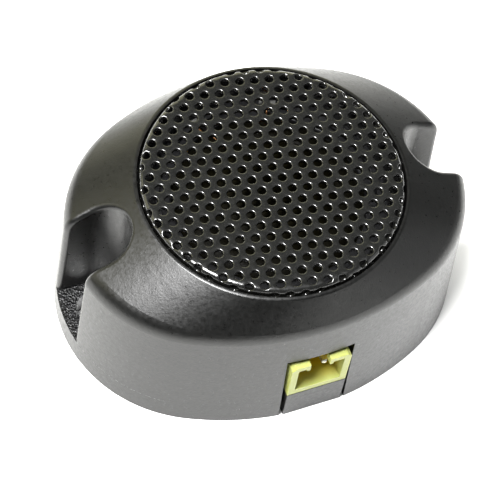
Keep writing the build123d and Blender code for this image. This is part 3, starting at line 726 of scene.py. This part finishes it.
def roll_points(lip_radius, centre, radius, foot):
    """Points down one side of the roll, from its crest to the height of its foot."""
    last = math.acos((foot - centre) / radius)
    angles = [last * step / ROLL_STEPS for step in range(ROLL_STEPS + 1)]
    return [(lip_radius + radius * math.sin(a), centre + radius * math.cos(a)) for a in angles]


def lead_height(reach, low, high):
    """Height of a lead's middle at a distance from the axis: level, down the roll, level."""
    fall = min(max((reach - LEAD_CREST) / (LEAD_FOOT - LEAD_CREST), 0.0), 1.0)
    return high - (high - low) * fall * fall * (3 - 2 * fall)


def lead_ring(reach, low, high):
    """Points round a lead at a distance from the axis; its lobes twist along it."""
    middle = Vector((reach, 0, lead_height(reach, low, high)))
    ahead = reach + LEAD_RADIUS / 10
    slope = Vector((ahead, 0, lead_height(ahead, low, high))) - middle
    sideways = Vector((0, 1, 0))
    upward = sideways.cross(slope).normalized()
    points = []
    for side in range(LEAD_SIDES):
        angle = 2 * math.pi * side / LEAD_SIDES
        lobe = abs(math.cos(LEAD_LOBES / 2 * angle + math.pi * reach / LEAD_TWIST))
        radius = LEAD_RADIUS * (1 - LOBE_DEPTH * (1 - lobe))
        points.append(middle + radius * (sideways * math.cos(angle) + upward * math.sin(angle)))
    return points


def add_lead(mesh, turn, low, high):
    """One lead, closed at both ends, turned to its own angle."""
    loops = []
    for step in range(LEAD_STEPS + 1):
        reach = LEAD_START + (LEAD_END - LEAD_START) * step / LEAD_STEPS
        loops.append([mesh.verts.new(turn @ point) for point in lead_ring(reach, low, high)])
    for first, second in zip(loops, loops[1:]):
        bridge(mesh, first, second)
    mesh.faces.new(loops[0])
    mesh.faces.new(loops[-1])


def make_leads(finish):
    """Two twisted tinsel leads from the coil's collar to the terminals."""
    low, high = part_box("lead_out_wires")
    floor, crest = low.z + LEAD_RADIUS, high.z - LEAD_RADIUS
    mesh = bmesh.new()
    for angle in LEAD_ANGLES:
        add_lead(mesh, Matrix.Rotation(math.radians(angle), 3, "Z"), floor, crest)
    piece = finished("tinsel_leads", mesh, finish, "copper", "lead_out_wires")
    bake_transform(piece)


def make_coil(finish):
    """Winding with its separate turns showing."""
    low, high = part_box("voice_coil")
    wire_radius = (high.z - low.z) / COIL_TURNS / 2
    section = [(COIL_INNER_RADIUS, high.z), (COIL_INNER_RADIUS, low.z)]
    for turn in range(COIL_TURNS):
        middle = low.z + wire_radius * (2 * turn + 1)
        for step in range(TURN_STEPS + 1):
            angle = -math.pi / 2 + math.pi * step / TURN_STEPS
            reach = high.x - wire_radius + wire_radius * math.cos(angle)
            section.append((reach, middle + wire_radius * math.sin(angle)))
    mesh = bmesh.new()
    lathe(mesh, section)
    bmesh.ops.remove_doubles(mesh, verts=mesh.verts, dist=SEAM)
    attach(finished("coil_winding", mesh, finish, "copper", "voice_coil"), MOVING)


# ---- Foam and felt ----------------------------------------------------------------------
def make_foam_ring(name, node, inner, finish):
    """Ring of foam squeezed between two flat faces."""
    low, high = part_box(node)
    mesh = bmesh.new()
    lathe(mesh, cushion_section(inner, high.x, low.z, high.z), sides=2 * LATHE_SIDES)
    roughened(mesh, low.z, high.z, PORE, PORE_DEPTH)
    piece = finished(name, mesh, finish, "foam", node)
    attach(piece, FIXED)


def pad_section(radius, low, high):
    """Section of the felt disc: a slight crown, a rounded edge and a flat underside."""
    flat = radius - PAD_EDGE
    shoulder = high - PAD_CROWN
    places = [flat * (step + 1) / PAD_RINGS for step in range(PAD_RINGS)]
    section = [(place, high - PAD_CROWN * (place / flat) ** 2) for place in places]
    for step in range(1, PAD_EDGE_STEPS + 1):
        angle = math.pi / 2 * step / PAD_EDGE_STEPS
        drop = (shoulder - low) * (1 - math.cos(angle))
        section.append((flat + PAD_EDGE * math.sin(angle), shoulder - drop))
    return section + [(place, low) for place in reversed(places)]


def close_centre(mesh, reach):
    """Draw the innermost rings of a turned disc together on the axis."""
    inner = [vertex for vertex in mesh.verts if vertex.co.xy.length < reach]
    for vertex in inner:
        vertex.co.x = vertex.co.y = 0
    bmesh.ops.remove_doubles(mesh, verts=inner, dist=MM / 1000)


def make_damping_pad(finish):
    """Crowned felt disc, pressed flat underneath where it is glued down."""
    low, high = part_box("damping_pad")
    mesh = bmesh.new()
    lathe(mesh, pad_section(high.x, low.z, high.z))
    close_centre(mesh, high.x / PAD_RINGS)
    roughened(mesh, low.z, high.z + PAD_EDGE, FELT_TUFT, FELT_DEPTH)
    piece = finished("felt_pad", mesh, finish, "felt", "damping_pad")
    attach(piece, FIXED)


def make_solder(finish):
    """Fillets of solder under the board, round the connector's and the capacitor's leads."""
    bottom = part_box("circuit_board")[0].z
    places = [(x, PIN_TAIL_Y) for x in (-PIN_X, PIN_X)]
    places += [(x, CAPACITOR_Y) for x in CAPACITOR_LEAD_X]
    mesh = bmesh.new()
    for place in places:
        section = [(SOLDER_TIP / 2, bottom), (SOLDER_FOOT, bottom)]
        for step in range(1, SOLDER_STEPS + 1):
            share = step / SOLDER_STEPS
            radius = SOLDER_TIP + (SOLDER_FOOT - SOLDER_TIP) * (1 - share) ** 2
            section.append((radius, bottom - SOLDER_HEIGHT * share))
        section.append((SOLDER_TIP / 2, bottom - SOLDER_HEIGHT))
        lathe(mesh, section, centre=place, sides=SOLDER_SIDES)
    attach(finished("solder_joints", mesh, finish, "tinned_brass"), FIXED)


def dress(finish, *names):
    """Give CAD nodes a finish."""
    for name in names:
        data = NODES[name].data
        data.materials.clear()
        data.materials.append(finish)


# ---- Build ------------------------------------------------------------------------------
make_camera()
make_stage()
copper_wire = copper()
foam_rubber = foam()
tin = plated("tinned_brass", (0.78, 0.77, 0.73), (0.90, 0.89, 0.86), 0.42, 0.3 * MM)
dress(housing_plastic(), "housing")
dress(base_plastic(), "base_plate")
dress(frame_plastic(), "driver_frame", "surround_clamp_ring")
dress(screw_steel(), "base_screws", "board_screws")
dress(film("dome_film", (0.0015, 0.0015, 0.0008), (0.007, 0.006, 0.002), 0.55, gloss=0.04), "dome")
dress(film("former_film", (0.30, 0.16, 0.04), (0.42, 0.24, 0.06), 0.3), "voice_coil_former")
zinc = plated("zinc_steel", (0.48, 0.48, 0.47), (0.68, 0.68, 0.66), 0.3, 0.8 * MM, (1, 1, 8))
dress(zinc, "top_plate", "yoke_cup")
dress(plated("nickel_magnet", (0.52, 0.50, 0.45), (0.66, 0.63, 0.57), 0.18, 1.5 * MM), "magnet")
dress(tin, "terminal_positive", "terminal_negative", "connector_pin_positive", "connector_pin_negative")
dress(board_laminate(), "circuit_board")
dress(capacitor_sleeve(), "capacitor")
dress(connector_nylon(), "connector_shroud")
dress(insulation("red_insulation", (0.42, 0.015, 0.012), (0.60, 0.04, 0.03)), "hookup_wire_red")
dress(insulation("black_insulation", (0.012, 0.012, 0.013), (0.03, 0.03, 0.032)), "hookup_wire_black")
make_grille(grille_paint())
make_surround(film("surround_film", (0.003, 0.003, 0.002), (0.009, 0.008, 0.004), 0.5, gloss=0.08))
make_leads(copper_wire)
make_coil(copper_wire)
make_foam_ring("gasket_foam", "driver_gasket", GASKET_INNER_RADIUS, foam_rubber)
make_foam_ring("rear_foam", "rear_foam_pad", REAR_PAD_INNER_RADIUS, foam_rubber)
make_damping_pad(felt())
make_solder(tin)
